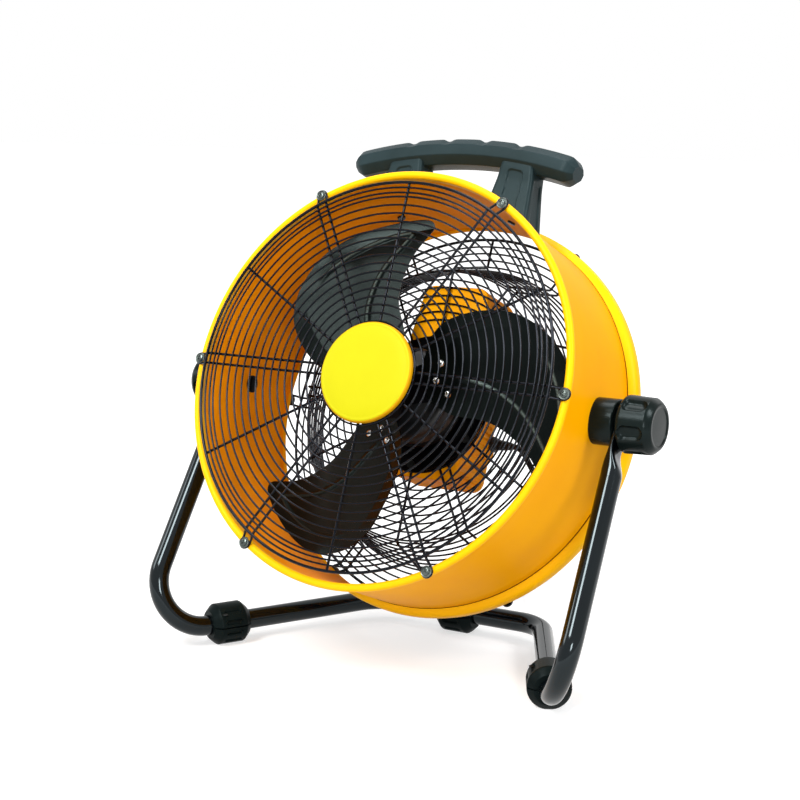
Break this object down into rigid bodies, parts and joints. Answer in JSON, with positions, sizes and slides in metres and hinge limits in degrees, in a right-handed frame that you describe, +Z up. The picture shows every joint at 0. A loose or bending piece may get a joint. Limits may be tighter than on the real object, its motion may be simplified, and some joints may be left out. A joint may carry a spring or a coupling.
{
  "type": "drum fan",
  "caption": "Floor drum fan: steel drum with wire grilles, bladed rotor, rear control box and carry handle, tilting between clamp knobs in a bent tube stand.",
  "frame": {"origin": "middle of the footprint on the floor, cord left out", "axes": "+Z up, -Y is the side the air leaves by, +X to the right seen from the front"},
  "size_m": [0.6182, 0.6179, 0.6052],
  "materials": {
    "yellow_steel": "satin powder coat",
    "yellow_plastic": "gloss",
    "box_yellow": "satin",
    "black_wire": "gloss coat",
    "black_steel": "satin",
    "gloss_black_tube": "gloss",
    "dark_steel": "blackened",
    "bright_steel": "zinc plated",
    "motor_casting": "painted die casting",
    "motor_iron": "varnished laminations",
    "copper_winding": "enamelled",
    "blade_black": "satin paint",
    "slate_plastic": "fine texture",
    "black_plastic": "satin",
    "cord_rubber": "satin"
  },
  "bodies": {
    "stand": {"stand_tube": "gloss_black_tube", "foot_screws": "dark_steel", "left_foot_lower": "slate_plastic", "left_foot_upper": "slate_plastic", "rear_foot_lower": "slate_plastic", "rear_foot_upper": "slate_plastic", "right_foot_lower": "slate_plastic", "right_foot_upper": "slate_plastic", "mains_cord": "cord_rubber", "cord_coil": "cord_rubber", "cord_tie": "black_plastic", "cord_tail": "cord_rubber", "mains_plug": "cord_rubber", "plug_pins": "bright_steel"},
    "drum": {"control_box": "box_yellow", "control_box_base": "box_yellow", "control_box_screws": "box_yellow", "cord_gland": "black_plastic", "drum_shell": "yellow_steel", "front_badge": "yellow_plastic", "front_bearing": "bright_steel", "front_grille": "black_wire", "front_grille_screws": "dark_steel", "handle": "slate_plastic", "handle_screws": "dark_steel", "left_pivot_backing": "black_plastic", "left_pivot_bolt": "dark_steel", "left_pivot_spacer": "slate_plastic", "motor_bolts": "bright_steel", "motor_front_bell": "motor_casting", "motor_mounting_ring": "black_wire", "motor_plate": "black_steel", "motor_plate_screws": "bright_steel", "motor_rear_bell": "motor_casting", "motor_stator": "motor_iron", "motor_windings": "copper_winding", "rear_bearing": "bright_steel", "rear_grille": "black_wire", "rear_grille_screws": "dark_steel", "right_pivot_backing": "black_plastic", "right_pivot_bolt": "dark_steel", "right_pivot_spacer": "slate_plastic", "run_capacitor": "black_plastic", "speed_switch": "black_plastic"},
    "fan": {"motor_shaft": "bright_steel", "rotor_core": "motor_iron", "hub_spider": "black_steel", "blade_rivets": "bright_steel", "hub_nut": "bright_steel", "blade_1": "blade_black", "blade_2": "blade_black", "blade_3": "blade_black"},
    "left_knob": {"left_knob": "slate_plastic"},
    "right_knob": {"right_knob": "slate_plastic"},
    "speed_knob": {"speed_knob": "slate_plastic"}
  },
  "joints": [
    {"name": "drum_tilt", "type": "hinge", "parent": "stand", "child": "drum", "pos_m": [0, -0.00001, 0.30585], "axis": [1, 0, 0], "range_deg": [-67, 113], "deforming": ["mains_cord"]},
    {"name": "fan_spin", "type": "hinge", "parent": "drum", "child": "fan", "pos_m": [0, 0.007, 0.307], "axis": [0, 0.9205, -0.3907], "continuous": true},
    {"name": "right_knob_turn", "type": "hinge", "parent": "drum", "child": "right_knob", "pos_m": [0.288, -0.00001, 0.30585], "axis": [1, 0, 0], "range_deg": [0, 360]},
    {"name": "left_knob_turn", "type": "hinge", "parent": "drum", "child": "left_knob", "pos_m": [-0.288, -0.00001, 0.30585], "axis": [-1, 0, 0], "range_deg": [0, 360]},
    {"name": "speed_knob_turn", "type": "hinge", "parent": "drum", "child": "speed_knob", "pos_m": [0.005, 0.13955, 0.35502], "axis": [0, 0.9205, -0.3907], "range_deg": [0, 270]}
  ]
}
